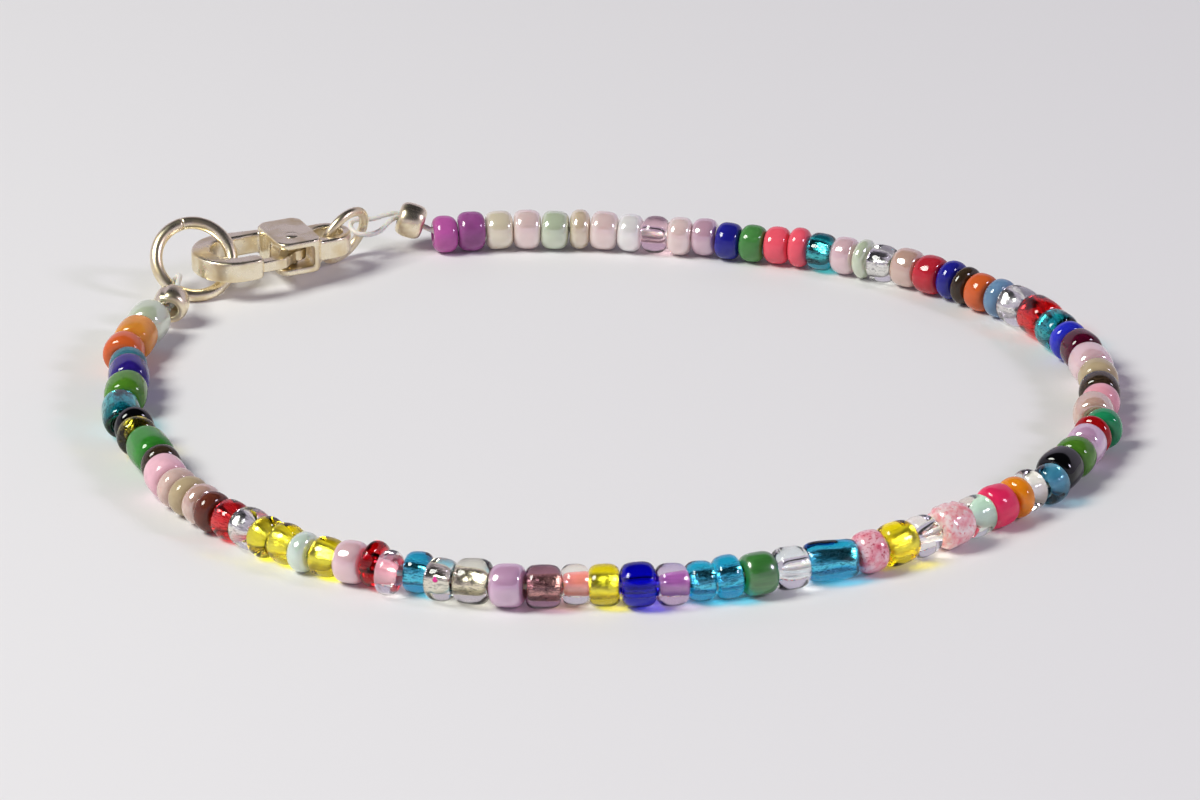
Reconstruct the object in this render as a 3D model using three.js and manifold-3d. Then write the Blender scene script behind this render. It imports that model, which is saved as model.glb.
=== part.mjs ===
// Seed bead bracelet: glass beads on one thread, closed by a lobster clasp and a catch ring.
// Millimetres, +Z up. The loop lies on the plane z = 0 with the clasp at the back, and the
// origin is under the middle of its bounding box.
import * as THREE from 'three';
import Module from 'manifold-3d';
import { mergeVertices } from 'three/addons/utils/BufferGeometryUtils.js';

const wasm = await Module();
wasm.setup();

// The strand seen from above: a round loop whose radius swells in slow waves.
const loop = {
  radius: 28.16,
  swells: [
    { waves: 2, cos: 1.67, sin: -0.28 },
    { waves: 3, cos: 0.61, sin: 0.51 },
  ],
  startDeg: 156.4, // the first bead, beside the catch ring
  sweepDeg: 327,
};

// Seed beads come off a glass cane cut by hand, so they fall into a few lengths and widths.
const beadSizes = {
  disc: { length: 1.1, across: 2.5 },
  thin: { length: 1.35, across: 2.5 },
  short: { length: 1.6, across: 2.4 },
  mid: { length: 1.8, across: 2.5 },
  long: { length: 2.05, across: 2.55 },
  big: { length: 2.4, across: 2.6 },
  tube: { length: 3.2, across: 2.4 },
  barrel: { length: 3.2, across: 2.6 },
};

// Bead by bead from the catch ring, round the front, to the clasp. Each row is one solid run.
const beadRuns = [
  'big big long short big big tube thin',
  'thin barrel thin long thin thin thin thin',
  'short mid thin short thin short mid disc',
  'thin short short long long long short mid',
  'long mid short short long long tube mid',
  'long mid big mid long thin thin short',
  'big mid mid disc short long short mid',
  'mid big long thin long big long thin',
  'short disc thin mid mid short disc short',
  'short thin short short short short short short',
  'short mid thin mid mid mid mid short',
];

// Shape of one bead: share of its length, and radius as a share of the full radius.
const beadCurve = [
  { along: 0, swell: 0.66 },
  { along: 0.13, swell: 0.9 },
  { along: 0.33, swell: 1 },
  { along: 0.67, swell: 1 },
  { along: 0.87, swell: 0.9 },
];
const beadSides = 8;
const flatOut = Math.cos(Math.PI / beadSides); // the facets, not the corners, lie on the bead's surface
const boreRadius = 0.5;
const runGap = 0.3; // between the runs, which stand for beads that touch

const threadHeight = 1.25;
const threadRadius = 0.18;
const threadSides = 6;
const threadSteps = { strand: 84, endLoop: 24 };
const loopSlack = 0.32; // between an end loop and the ring wire that it holds

// Wire rings, each standing on its lowest point and leaning on the clasp, back or, below zero,
// forward. The thread holds each one at heldDeg round its wire, counted from its right side.
const rings = {
  catch_ring: { radius: 2.4, wire: 0.4, centre: [-25.55, 18.95], turnDeg: 15, leanDeg: 40, heldDeg: 225 },
  jump_ring: { radius: 1.8, wire: 0.3, centre: [-16.25, 23.42], turnDeg: 50, leanDeg: -20, heldDeg: 0 },
};

// Lobster clasp, drawn along x from the middle of its hook end to its eye.
const clasp = {
  at: [-24.95, 18.6],
  turnDeg: 25,
  height: 2.12, // of its middle plane
  thickness: 1.3,
  bevel: 0.25,
  hook: { centre: 2, outer: 2.6, innerAlong: 1.4, innerAcross: 1.5, clawEnd: 2.7 },
  boss: { from: 4.5, to: 7.4, down: -2, up: 2.25, corner: 0.5, thickness: 2.2 },
  eye: { centre: 8.5, outer: 1.5, holeAlong: 0.98, holeAcross: 0.9 },
  joinDepth: 0.3, // how far the hook's and eye's outline reaches into the boss
};
const pivot = { along: 5.8, across: -0.6, pinRadius: 0.3, bore: 0.58, pinLength: 2.3 };
const lever = { hub: 0.9, hubRoom: 0.3, thickness: 0.7, bevel: 0.12, slot: 1.3, tab: 0.6, tip: 0.3 };

const crimp = { radius: 1.12, length: 1.7, end: 0.92, bore: 0.7 };
const leftCrimp = { at: [-26.7, 13.6, 1.5], toward: [0.12, 1, 0.12] };
const rightCrimp = { at: [-12.05, 26.1, 1.9], toward: [-1, 0.05, 0.33] };

const glass = (color, roughness = 0.15) => new THREE.MeshStandardMaterial({ color, roughness });
const metal = (color, roughness = 0.22) =>
  new THREE.MeshStandardMaterial({ color, roughness, metalness: 1 });

const bracelet = new THREE.Group();
bracelet.name = 'seed_bead_bracelet';

function addPart(name, geometry, material) {
  geometry.deleteAttribute('uv');
  geometry.computeVertexNormals();
  const mesh = new THREE.Mesh(geometry, material);
  mesh.name = name;
  bracelet.add(mesh);
  return mesh;
}

// three.js geometry to a solid for a boolean, and back.
function toSolid(geometry) {
  const bare = geometry.index ? geometry.clone() : geometry;
  bare.deleteAttribute('normal');
  bare.deleteAttribute('uv');
  const merged = mergeVertices(bare, 1e-4);
  return new wasm.Manifold(new wasm.Mesh({
    numProp: 3,
    vertProperties: new Float32Array(merged.getAttribute('position').array),
    triVerts: new Uint32Array(merged.index.array),
  }));
}

function toGeometry(solid) {
  const { vertProperties, triVerts } = solid.getMesh();
  const geometry = new THREE.BufferGeometry();
  geometry.setAttribute('position', new THREE.BufferAttribute(vertProperties, 3));
  geometry.setIndex(new THREE.BufferAttribute(triVerts, 1));
  return geometry.toNonIndexed();
}

// The loop's centre line at thread height.
class StrandRoute extends THREE.Curve {
  getPoint(t, target = new THREE.Vector3()) {
    const angle = THREE.MathUtils.degToRad(loop.startDeg + t * loop.sweepDeg);
    let radius = loop.radius;
    for (const { waves, cos, sin } of loop.swells) {
      radius += cos * Math.cos(waves * angle) + sin * Math.sin(waves * angle);
    }
    return target.set(radius * Math.cos(angle), radius * Math.sin(angle), threadHeight);
  }
}
const route = new StrandRoute();
route.arcLengthDivisions = 1500;
const routeLength = route.getLength();

// A point beside the strand: a distance along it, then outwards and up.
function besideStrand(distance, outwards, height) {
  const share = distance / routeLength;
  const point = route.getPointAt(share);
  const tangent = route.getTangentAt(share);
  return new THREE.Vector3(
    point.x + outwards * tangent.y,
    point.y - outwards * tangent.x,
    height,
  );
}

// One run of beads: a lathe of the whole outline and its bore, bent along the strand.
// Every bead lies on the table, so its centre stands as high as its own radius.
function beadRun(start, beads) {
  const outline = [];
  let edge = start;
  beads.forEach(({ length, across }, i) => {
    const radius = across / 2;
    const before = i > 0 ? beads[i - 1].across / 2 : radius;
    beadCurve.forEach(({ along, swell }, k) => {
      const size = k === 0 ? Math.min(radius, before) : radius;
      const height = k === 0 ? (radius + before) / 2 : radius;
      outline.push({ along: edge + along * length, radius: swell * size, height });
    });
    edge += length;
  });
  const last = beads[beads.length - 1].across / 2;
  outline.push({ along: edge, radius: beadCurve[0].swell * last, height: last });
  outline[0].along += runGap / 2;
  outline[outline.length - 1].along -= runGap / 2;

  const [first, end] = [outline[0].along, outline[outline.length - 1].along];
  const boreSteps = beads.length / 2;
  for (let i = boreSteps; i >= 0; i -= 1) {
    const along = THREE.MathUtils.lerp(first, end, i / boreSteps);
    outline.push({ along, radius: boreRadius, height: threadHeight });
  }
  outline.push(outline[0]);

  const profile = outline.map(({ along, radius }) => new THREE.Vector2(radius / flatOut, along));
  const run = new THREE.LatheGeometry(profile, beadSides, Math.PI / beadSides);
  const position = run.getAttribute('position');
  for (let i = 0; i < position.count; i += 1) {
    const { height } = outline[i % outline.length];
    const place = besideStrand(position.getY(i), position.getX(i), height + position.getZ(i));
    position.setXYZ(i, place.x, place.y, place.z);
  }
  return run;
}

let runStart = 0;
beadRuns.forEach((row, i) => {
  const beads = row.split(' ').map((size) => beadSizes[size]);
  const tint = new THREE.Color().setHSL((i * 0.29) % 1, 0.45, 0.6);
  addPart(`bead_run_${String(i + 1).padStart(2, '0')}`, beadRun(runStart, beads), glass(tint));
  runStart += beads.reduce((sum, { length }) => sum + length, 0);
});
const strandLength = runStart;

// Round wire ring, leaning about its lowest point.
function wireRing({ radius, wire, centre, turnDeg, leanDeg }) {
  const lean = THREE.MathUtils.degToRad(leanDeg);
  const ring = new THREE.TorusGeometry(radius, wire, 8, 24);
  ring.rotateX(Math.PI / 2 - lean);
  ring.rotateZ(THREE.MathUtils.degToRad(turnDeg));
  ring.translate(centre[0], centre[1], wire + radius * Math.cos(lean));
  return ring;
}

const silver = metal('#d9d4c8');
for (const [name, ring] of Object.entries(rings)) {
  addPart(name, wireRing(ring), silver);
}

// A flat shape with chamfered edges, centred on its own thickness.
function plate(shape, thickness, bevel, curveSegments = 7) {
  const slab = new THREE.ExtrudeGeometry(shape, {
    depth: thickness - 2 * bevel,
    bevelEnabled: bevel > 0,
    bevelThickness: bevel,
    bevelSize: bevel,
    bevelOffset: -bevel,
    bevelSegments: 1,
    curveSegments,
  });
  return slab.translate(0, 0, bevel - thickness / 2);
}

function roundedRectangle(left, bottom, right, top, corner) {
  const shape = new THREE.Shape();
  shape.absarc(right - corner, top - corner, corner, 0, Math.PI / 2);
  shape.absarc(left + corner, top - corner, corner, Math.PI / 2, Math.PI);
  shape.absarc(left + corner, bottom + corner, corner, Math.PI, 1.5 * Math.PI);
  shape.absarc(right - corner, bottom + corner, corner, 1.5 * Math.PI, 2 * Math.PI);
  return shape;
}

// Hook, back rail and eye in one outline. The gap towards -y is the gate that the lever closes.
function clawShape() {
  const { hook, boss, eye, joinDepth } = clasp;
  const shape = new THREE.Shape();
  shape.moveTo(hook.clawEnd, -hook.outer);
  shape.lineTo(hook.centre, -hook.outer);
  shape.absarc(hook.centre, 0, hook.outer, -Math.PI / 2, Math.PI / 2, true);
  shape.lineTo(boss.from, boss.up);
  shape.lineTo(boss.to - joinDepth, eye.outer);
  shape.lineTo(eye.centre, eye.outer);
  shape.absarc(eye.centre, 0, eye.outer, Math.PI / 2, -Math.PI / 2, true);
  shape.lineTo(boss.to - joinDepth, -eye.outer);
  shape.lineTo(boss.from + joinDepth, -eye.outer);
  shape.lineTo(boss.from + joinDepth, hook.innerAcross);
  shape.lineTo(hook.centre, hook.innerAcross);
  shape.absellipse(hook.centre, 0, hook.innerAlong, hook.innerAcross, Math.PI / 2, 1.5 * Math.PI, false);
  shape.lineTo(hook.clawEnd, -hook.innerAcross);
  return shape;
}

// The room in the boss that lets the lever's hub, arm and thumb tab turn.
function slotShape() {
  const { along, across } = pivot;
  const room = lever.hub + lever.hubRoom;
  return new THREE.Shape([
    [along - 2, -3], [along + 0.8, -3], [along + room, across - 0.4], [along + room, across + 1],
    [along + 2.6, 3.4], [along - 1, 3.4], [along - 1, across + 1], [along - room, across + 0.6],
    [along - 2, across + 0.6],
  ].map(([x, y]) => new THREE.Vector2(x, y)));
}

function pinHole(length) {
  const hole = new THREE.CylinderGeometry(pivot.bore, pivot.bore, length, 12);
  return toSolid(hole.rotateX(Math.PI / 2).translate(pivot.along, pivot.across, 0));
}

function claspBody() {
  const { boss, eye } = clasp;
  const bossShape = roundedRectangle(boss.from, boss.down, boss.to, boss.up, boss.corner);
  const eyeShape = new THREE.Shape().absellipse(eye.centre, 0, eye.holeAlong, eye.holeAcross, 0, 2 * Math.PI);
  return toSolid(plate(clawShape(), clasp.thickness, clasp.bevel))
    .add(toSolid(plate(bossShape, boss.thickness, clasp.bevel, 2)))
    .subtract(toSolid(plate(eyeShape, 2 * boss.thickness, 0)))
    .subtract(toSolid(plate(slotShape(), lever.slot, 0)))
    .subtract(pinHole(2 * boss.thickness));
}

// Gate arm on one side of the pin, thumb tab on the other.
function leverShape() {
  const { along: x, across: y } = pivot;
  const shape = new THREE.Shape();
  shape.moveTo(x - 0.1, y - 0.88);
  shape.lineTo(x - 1.1, y - 1.7);
  shape.lineTo(x - 2.55, y - 1.75);
  shape.absarc(x - 2.5, y - 1.4, lever.tip, 1.4 * Math.PI, 0.6 * Math.PI, true);
  shape.lineTo(x - 1.35, y - 0.95);
  shape.lineTo(x - 0.88, y - 0.2);
  shape.lineTo(x - 0.55, y + 0.75);
  shape.lineTo(x - 0.6, y + 3.3);
  shape.absarc(x - 0.2, y + 3.6, lever.tab, 1.2 * Math.PI, -0.2 * Math.PI, true);
  shape.lineTo(x + 0.28, y + 0.8);
  shape.absarc(x, y, lever.hub, 0.35 * Math.PI, -0.5 * Math.PI, true);
  return shape;
}

// From the clasp's own drawing to its place on the rings.
function onClasp(geometry) {
  geometry.rotateZ(THREE.MathUtils.degToRad(clasp.turnDeg));
  return geometry.translate(clasp.at[0], clasp.at[1], clasp.height);
}

const leverPlate = plate(leverShape(), lever.thickness, lever.bevel, 5);
const claspLever = toSolid(leverPlate).subtract(pinHole(2 * lever.thickness));
const leverPin = new THREE.CylinderGeometry(pivot.pinRadius, pivot.pinRadius, pivot.pinLength, 12);
leverPin.rotateX(Math.PI / 2).translate(pivot.along, pivot.across, 0);
addPart('clasp_body', onClasp(toGeometry(claspBody())), silver);
addPart('clasp_lever', onClasp(toGeometry(claspLever)), silver);
addPart('lever_pin', onClasp(leverPin), silver);

// Crimp cover: a small split ball pressed over the knot of each end loop.
function crimpCover({ at, toward }) {
  const { radius, length, end, bore } = crimp;
  const half = length / 2;
  const profile = [
    [bore, -half], [end, -half], [radius, -0.45 * half], [radius, 0.45 * half], [end, half],
    [bore, half], [bore, -half],
  ].map(([r, along]) => new THREE.Vector2(r, along));
  const cover = new THREE.LatheGeometry(profile, 12);
  const direction = new THREE.Vector3(...toward).normalize();
  cover.applyQuaternion(new THREE.Quaternion().setFromUnitVectors(new THREE.Vector3(0, 1, 0), direction));
  return cover.translate(...at);
}
addPart('crimp_catch_side', crimpCover(leftCrimp), silver);
addPart('crimp_clasp_side', crimpCover(rightCrimp), silver);

// The thread: through every bead, out at both ends, round a ring and back into the crimp.
const threadSection = new THREE.Shape().absarc(0, 0, threadRadius, 0, 2 * Math.PI);

function threadTube(points, steps) {
  const path = new THREE.CatmullRomCurve3(points, false, 'centripetal');
  return toSolid(new THREE.ExtrudeGeometry(threadSection, {
    extrudePath: path,
    steps,
    bevelEnabled: false,
    curveSegments: threadSides / 2,
  }));
}

// A loop from a crimp round a ring's wire and back, square to that wire and a little wider.
function endLoop({ at, toward }, { radius, wire, centre, turnDeg, leanDeg, heldDeg }) {
  const [turn, lean, held] = [turnDeg, leanDeg, heldDeg].map(THREE.MathUtils.degToRad);
  const across = new THREE.Vector3(Math.cos(turn), Math.sin(turn), 0);
  const back = new THREE.Vector3(-Math.sin(turn), Math.cos(turn), 0);
  const up = new THREE.Vector3(0, 0, Math.cos(lean)).addScaledVector(back, Math.sin(lean));
  const place = new THREE.Vector3(centre[0], centre[1], wire + radius * Math.cos(lean))
    .addScaledVector(across, radius * Math.cos(held))
    .addScaledVector(up, radius * Math.sin(held));
  const alongWire = across.multiplyScalar(-Math.sin(held)).addScaledVector(up, Math.cos(held));
  const start = new THREE.Vector3(...at);
  const ahead = new THREE.Vector3(...toward).normalize();
  const run = place.clone().sub(start);
  const reach = run.length();
  run.normalize();
  const sideways = alongWire.cross(run).normalize();
  const room = wire + threadRadius + loopSlack;
  const inBore = (along, aside) =>
    start.clone().addScaledVector(ahead, along).addScaledVector(sideways, aside);
  const beyond = (along, aside) =>
    start.clone().addScaledVector(run, along).addScaledVector(sideways, aside);
  const half = crimp.length / 2;
  const oneLeg = (side) => [
    inBore(-0.6 * half, 0.1 * side),
    inBore(1.2 * half, 0.2 * side),
    beyond(0.75 * reach, 0.85 * room * side),
    beyond(reach, room * side),
    beyond(reach + 0.75 * room, 0.7 * room * side),
  ];
  return [...oneLeg(1), beyond(reach + room, 0), ...oneLeg(-1).reverse()];
}

const strandPoints = [new THREE.Vector3(...leftCrimp.at)];
const strandStops = 44;
for (let i = 0; i <= strandStops; i += 1) {
  const distance = THREE.MathUtils.lerp(0.2, strandLength - 0.2, i / strandStops);
  strandPoints.push(besideStrand(distance, 0, threadHeight));
}
strandPoints.push(new THREE.Vector3(...rightCrimp.at));
const thread = threadTube(strandPoints, threadSteps.strand)
  .add(threadTube(endLoop(leftCrimp, rings.catch_ring), threadSteps.endLoop))
  .add(threadTube(endLoop(rightCrimp, rings.jump_ring), threadSteps.endLoop));
addPart('thread', toGeometry(thread), glass('#e8e6e0', 0.5));

// Origin: under the middle of the whole bracelet, on the table.
const bounds = new THREE.Box3().setFromObject(bracelet);
const middle = bounds.getCenter(new THREE.Vector3());
bracelet.position.set(-middle.x, -middle.y, -bounds.min.z);

export default bracelet;
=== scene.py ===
import bisect
import math
import random

import bmesh
import bpy
from mathutils import Matrix, Vector, noise


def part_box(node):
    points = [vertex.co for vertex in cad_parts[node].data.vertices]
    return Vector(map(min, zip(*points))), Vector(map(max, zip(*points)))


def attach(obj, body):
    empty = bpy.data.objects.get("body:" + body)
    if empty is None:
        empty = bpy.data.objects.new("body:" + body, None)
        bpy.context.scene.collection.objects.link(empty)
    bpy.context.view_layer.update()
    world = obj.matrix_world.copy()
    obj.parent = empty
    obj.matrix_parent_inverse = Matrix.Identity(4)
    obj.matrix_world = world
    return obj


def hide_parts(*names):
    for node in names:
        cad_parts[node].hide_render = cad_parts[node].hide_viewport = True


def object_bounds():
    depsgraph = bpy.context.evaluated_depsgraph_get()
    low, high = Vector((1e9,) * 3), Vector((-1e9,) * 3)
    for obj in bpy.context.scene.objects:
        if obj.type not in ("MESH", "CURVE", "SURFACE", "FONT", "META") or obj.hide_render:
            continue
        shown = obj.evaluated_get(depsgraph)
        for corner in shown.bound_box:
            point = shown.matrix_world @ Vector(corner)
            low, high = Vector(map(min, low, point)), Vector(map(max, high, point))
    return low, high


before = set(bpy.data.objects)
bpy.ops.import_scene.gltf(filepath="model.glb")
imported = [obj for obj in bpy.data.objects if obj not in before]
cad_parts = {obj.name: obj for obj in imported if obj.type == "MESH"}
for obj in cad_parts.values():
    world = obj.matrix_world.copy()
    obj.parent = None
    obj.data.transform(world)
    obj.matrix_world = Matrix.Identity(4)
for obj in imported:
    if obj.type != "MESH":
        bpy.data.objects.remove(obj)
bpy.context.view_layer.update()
mm = 0.001  # sizes below are in millimetres
scene = bpy.context.scene


def addNode(tree, kind, inputs=None, **settings):
    # inputs take values, sockets or nodes, which stand for their first output in use;
    # they go by name, or by number where names repeat: a Mix of colours has 0, 6 and 7
    node = tree.nodes.new("ShaderNode" + kind)
    for name, value in settings.items():
        setattr(node, name, value)
    for name, value in (inputs or {}).items():
        if isinstance(value, bpy.types.Node):
            value = next(output for output in value.outputs if output.enabled)
        if isinstance(value, bpy.types.NodeSocket):
            tree.links.new(value, node.inputs[name])
        else:
            node.inputs[name].default_value = value
    return node


def makeMaterial(name, maker, *details):
    # the maker builds the shader in an empty tree and returns what the output takes
    material = bpy.data.materials.new(name)
    material.use_nodes = True
    tree = material.node_tree
    tree.nodes.clear()
    addNode(tree, "OutputMaterial", maker(tree, *details))
    return material


def linear(hexCode):
    # an sRGB hex colour as the linear one that a shader wants
    values = [int(hexCode[i:i + 2], 16) / 255 for i in (1, 3, 5)]
    return [v / 12.92 if v <= 0.04045 else ((v + 0.055) / 1.055) ** 2.4 for v in values] + [1]


def shade(hexCode, factor):
    # the same colour, darker or lighter
    return [min(1, value * factor) for value in linear(hexCode)[:3]] + [1]


def addObject(name, data):
    thing = bpy.data.objects.new(name, data)
    scene.collection.objects.link(thing)
    return thing


def buildPiece(name, vertices, faces, materials, faceSlots=None):
    # vertices are in millimetres, in the bracelet's frame
    mesh = bpy.data.meshes.new(name)
    mesh.from_pydata([Vector(vertex) * mm for vertex in vertices], [], faces)
    for material in materials:
        mesh.materials.append(material)
    if faceSlots:
        mesh.polygons.foreach_set("material_index", faceSlots)
    mesh.polygons.foreach_set("use_smooth", [True] * len(faces))
    mesh.update()
    return addObject(name, mesh)


def boxMiddle(node):
    lowest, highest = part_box(node)
    return (lowest + highest) / 2 / mm


shot = {
    "elevationDeg": 24,  # above the table
    "away": 442.4,
    "lens": 219,  # on a sensor of 36
    "aim": (-0.52, -0.23, 1.25),  # beside the middle of the loop, at the height of the thread
    "clip": (10, 20000),
}


def placeCamera():
    lowest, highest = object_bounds()
    middle = (lowest + highest) / 2
    aim = Vector((middle.x, middle.y, lowest.z)) + Vector(shot["aim"]) * mm
    elevation = math.radians(shot["elevationDeg"])
    back = Vector((0, -math.cos(elevation), math.sin(elevation)))
    camera = addObject("camera", bpy.data.cameras.new("camera"))
    camera.data.lens = shot["lens"]
    camera.data.clip_start, camera.data.clip_end = shot["clip"][0] * mm, shot["clip"][1] * mm
    camera.location = aim + back * shot["away"] * mm
    camera.rotation_euler = (math.pi / 2 - elevation, 0, 0)
    bpy.context.scene.camera = camera


lamps = {
    "keyLamp": {
        "side": (-0.62, -0.2, 0.76), "away": 600, "across": 270, "watts": 1.17, "colour": "#FCFFF6",
    },
    "sideLamp": {
        "side": (0.81, -0.22, 0.55), "away": 600, "across": 130, "watts": 0.32, "colour": "#EEE6FF",
    },
}


def hangLamps():
    for name, lamp in lamps.items():
        light = bpy.data.lights.new(name, "AREA")
        light.shape = "DISK"
        light.size = lamp["across"] * mm
        light.energy = lamp["watts"]
        light.color = linear(lamp["colour"])[:3]
        holder = addObject(name, light)
        side = Vector(lamp["side"]).normalized()
        holder.location = side * lamp["away"] * mm
        holder.rotation_euler = side.to_track_quat("Z", "Y").to_euler()


room = {
    "walls": "#C8C0D2", "ceiling": "#302F33", "strength": 0.31,
    "edgeFrom": 0.45, "edgeTo": 0.55, "lean": 0.12,
    "exposure": 1.5,  # the room is dim, and the picture is exposed for it
}


def lightRoom():
    # pale walls, low in front and high behind, under a dark ceiling: a bead shows both as two bands
    world = bpy.data.worlds.new("room")
    world.use_nodes = True
    tree = world.node_tree
    tree.nodes.clear()
    place = addNode(tree, "TexCoord")
    height = addNode(tree, "SeparateXYZ", {0: place.outputs["Generated"]})
    lean = addNode(tree, "Math", {
        0: height.outputs["Y"], 1: -room["lean"], 2: height.outputs["Z"],
    }, operation="MULTIPLY_ADD")
    rise = addNode(tree, "MapRange", {
        "Value": lean, "From Min": room["edgeFrom"], "From Max": room["edgeTo"],
    }, interpolation_type="SMOOTHSTEP")
    colour = addNode(tree, "Mix", {
        0: rise, 6: linear(room["walls"]), 7: linear(room["ceiling"]),
    }, data_type="RGBA")
    sky = addNode(tree, "Background", {"Color": colour, "Strength": room["strength"]})
    addNode(tree, "OutputWorld", {"Surface": sky})
    scene.world = world


table = {"size": 6000, "colour": "#EAE8EA", "roughness": 0.7, "tooth": 0.4, "toothDepth": 0.02}


def mattCard(tree):
    # uncoated white card: flat and shadowless apart from a fine tooth
    place = addNode(tree, "TexCoord")
    tooth = addNode(tree, "TexNoise", {
        "Vector": place.outputs["Object"], "Scale": 1 / (table["tooth"] * mm), "Detail": 3,
    })
    bump = addNode(tree, "Bump", {
        "Height": tooth, "Strength": 0.15, "Distance": table["toothDepth"] * mm,
    })
    surface = addNode(tree, "BsdfPrincipled", {
        "Base Color": linear(table["colour"]), "Roughness": table["roughness"],
        "Specular IOR Level": 0.2, "Normal": bump,
    })
    return {"Surface": surface}


def layTable():
    half = table["size"] / 2
    corners = [(-half, -half, 0), (half, -half, 0), (half, half, 0), (-half, half, 0)]
    buildPiece("table", corners, [(0, 1, 2, 3)], [makeMaterial("mattCard", mattCard)])


placeCamera()
hangLamps()
lightRoom()
layTable()
scene.view_settings.view_transform = "Standard"
scene.view_settings.exposure = room["exposure"]
print("stage: camera, lamps, room and table")

claspDrawing = {
    "pin": (5.8, -0.6),  # the lever's pin in the clasp's own drawing, which starts in its hook
    "turnDeg": 25,
    "at": (-24.95, 18.6),  # where that drawing starts, seen from the middle of the strand
}
claspPlace = (
    Matrix.Translation(boxMiddle("lever_pin"))
    @ Matrix.Rotation(math.radians(claspDrawing["turnDeg"]), 4, "Z")
    @ Matrix.Translation(-Vector((*claspDrawing["pin"], 0)))
)
strandMiddle = claspPlace.translation.xy - Vector(claspDrawing["at"])

strand = {
    "radius": 28.16,
    "swells": ((2, 1.67, -0.28), (3, 0.61, 0.51)),  # waves round the loop, with cosine and sine parts
    "startDeg": 156.4,
    "sweepDeg": 327,
    "steps": 3000,
}


def strandLine():
    points = []
    for i in range(strand["steps"] + 1):
        angle = math.radians(strand["startDeg"] + strand["sweepDeg"] * i / strand["steps"])
        radius = strand["radius"]
        for waves, cosine, sine in strand["swells"]:
            radius += cosine * math.cos(waves * angle) + sine * math.sin(waves * angle)
        points.append(strandMiddle + Vector((radius * math.cos(angle), radius * math.sin(angle))))
    return points


strandPoints = strandLine()
strandTravel = [0]
for here, there in zip(strandPoints, strandPoints[1:]):
    strandTravel.append(strandTravel[-1] + (there - here).length)


def alongStrand(distance, outwards):
    # a point of the plan view: so far along the strand, and so far outside it
    i = bisect.bisect_right(strandTravel, distance) - 1
    here, there = strandPoints[i], strandPoints[i + 1]
    share = (distance - strandTravel[i]) / (strandTravel[i + 1] - strandTravel[i])
    ahead = (there - here).normalized()
    return here.lerp(there, share) + Vector((ahead.y, -ahead.x)) * outwards


glassSkin = {
    "ior": 1.52,  # soda-lime glass
    "ripple": 0.9, "rippleDepth": 0.012,  # slow waves that the kiln leaves on a tumbled bead
    "dimple": 0.25, "dimpleDepth": 0.002,
    "thick": 2,  # glass that the given colour is seen through
    "leastLoss": 0.01, "leastShare": 0.004,  # the palest glass takes light, the deepest lets some by
    "passing": 0.74,  # share of a lamp's light that each of its faces lets straight through
}


def beadPlaces(tree):
    # the bead's own axes in millimetres, and a number of its own that makes each one differ
    place = addNode(tree, "Attribute", attribute_name="beadPlace")
    seed = addNode(tree, "Attribute", attribute_name="beadSeed")
    return place.outputs["Vector"], seed.outputs["Fac"]


def glassRipples(tree, place, seed):
    bump = None
    for size, detail in (("ripple", 1), ("dimple", 2)):
        wave = addNode(tree, "TexNoise", {
            "Vector": place, "W": seed, "Scale": 1 / glassSkin[size], "Detail": detail,
        }, noise_dimensions="4D")
        inputs = {"Height": wave, "Distance": glassSkin[size + "Depth"] * mm}
        if bump:
            inputs["Normal"] = bump
        bump = addNode(tree, "Bump", inputs)
    return bump


def clearGlass(tree, colour, look):
    # transparent soda-lime glass, drawn, cut and fire polished: deep colour, dark rims and sharp glints
    place, seed = beadPlaces(tree)
    surface = addNode(tree, "BsdfPrincipled", {
        "Base Color": (1, 1, 1, 1), "Transmission Weight": 1, "IOR": glassSkin["ior"], "Roughness": 0,
        "Normal": glassRipples(tree, place, seed),
    })
    losses = [-math.log(max(value, glassSkin["leastShare"])) for value in linear(colour)[:3]]
    strongest = max(losses + [glassSkin["leastLoss"]])
    body = addNode(tree, "VolumeAbsorption", {
        "Color": [1 - loss / strongest for loss in losses] + [1],
        "Density": strongest / (look.get("thick", glassSkin["thick"]) * mm),
    })
    # the lamps shine straight in, so that the lining and the table behind are lit through the colour
    ray = addNode(tree, "LightPath")
    share = look.get("passing", glassSkin["passing"])
    passing = addNode(tree, "BsdfTransparent", {"Color": shade("#FFFFFF", share)})
    either = addNode(tree, "MixShader", {0: ray.outputs["Is Shadow Ray"], 1: surface, 2: passing})
    return {"Surface": either, "Volume": body}


silverLining = {
    "crease": 0.18, "creaseDepth": 0.035, "grain": 0.12, "drawn": 0.4,
    "tarnish": 0.35,  # shade of the dull grains
    "roughness": 0.14,
}


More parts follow.
